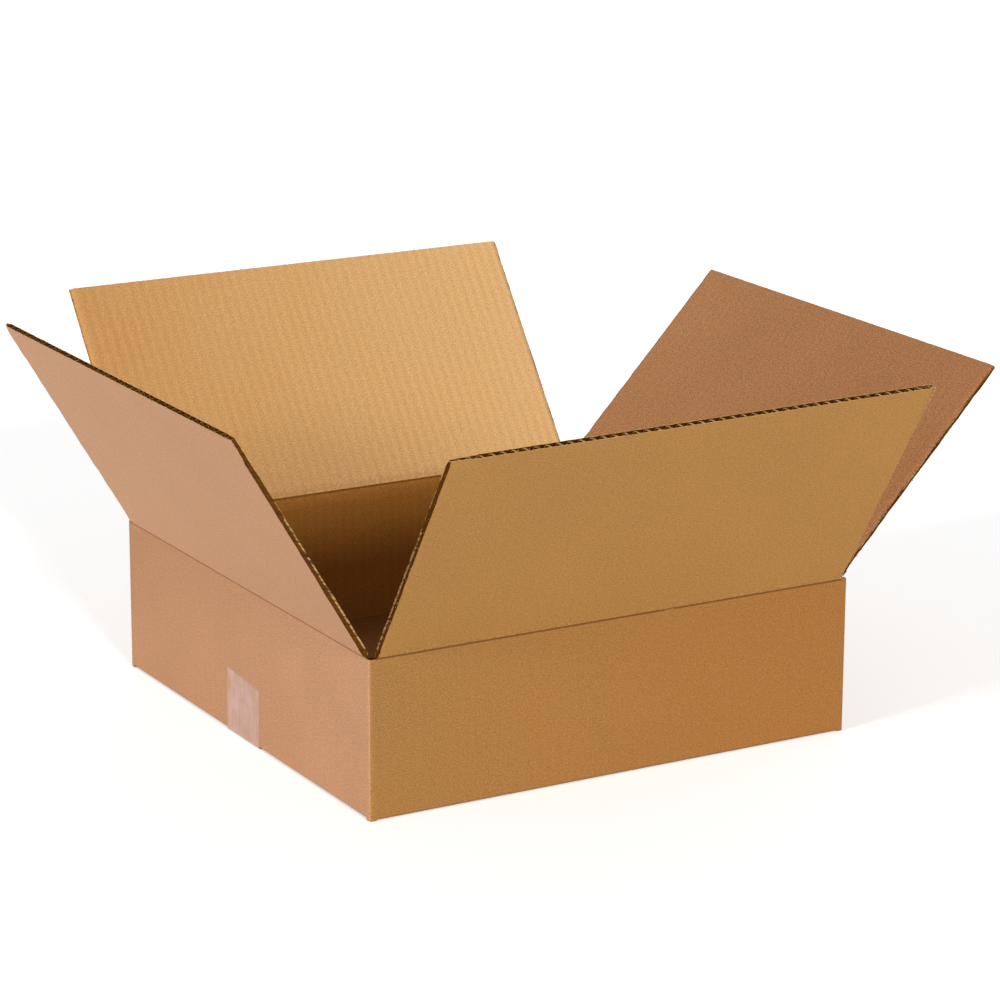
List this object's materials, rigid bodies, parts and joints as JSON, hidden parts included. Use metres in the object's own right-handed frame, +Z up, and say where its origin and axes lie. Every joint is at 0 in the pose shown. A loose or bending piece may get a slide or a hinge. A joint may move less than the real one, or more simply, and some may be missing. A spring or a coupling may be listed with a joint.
{
  "type": "open corrugated cardboard box",
  "caption": "Low, wide square corrugated carton for packing and posting goods, set up with its bottom taped shut and its hinged top flaps leaning outwards.",
  "frame": {"origin": "centre of the carton's base, on the surface that it stands on", "axes": "+Z up; the front wall, whose bottom flap is an outer one, faces -Y; the left wall, with one end of the tape, faces -X"},
  "size_m": [0.577, 0.5682, 0.2621],
  "materials": {
    "kraft_board": "matt brown kraft liner on corrugated board, with faint flute lines and flecks",
    "kraft_papers": "matt brown kraft liners with the fluted medium between them, open at the cut edges",
    "clear_tape": "clear carton-sealing tape, slightly glossy, jagged at its cut ends"
  },
  "bodies": {
    "carton": {"carton_body": "kraft_board", "bottom_tape": "clear_tape"},
    "front_flap": {"front_flap": "kraft_papers"},
    "back_flap": {"back_flap": "kraft_papers"},
    "left_flap": {"left_flap": "kraft_papers"},
    "right_flap": {"right_flap": "kraft_papers"}
  },
  "joints": [
    {"name": "front_crease", "type": "hinge", "parent": "carton", "child": "front_flap", "pos_m": [0, -0.1818, 0.1076], "axis": [1, 0, 0], "range_deg": [-122.5, 82.5]},
    {"name": "back_crease", "type": "hinge", "parent": "carton", "child": "back_flap", "pos_m": [0, 0.1818, 0.1076], "axis": [-1, 0, 0], "range_deg": [-126.8, 78.2]},
    {"name": "left_crease", "type": "hinge", "parent": "carton", "child": "left_flap", "pos_m": [-0.1818, 0, 0.10483], "axis": [0, -1, 0], "range_deg": [-120.9, 84.1]},
    {"name": "right_crease", "type": "hinge", "parent": "carton", "child": "right_flap", "pos_m": [0.1818, 0, 0.10511], "axis": [0, 1, 0], "range_deg": [-133.3, 71.7]}
  ]
}
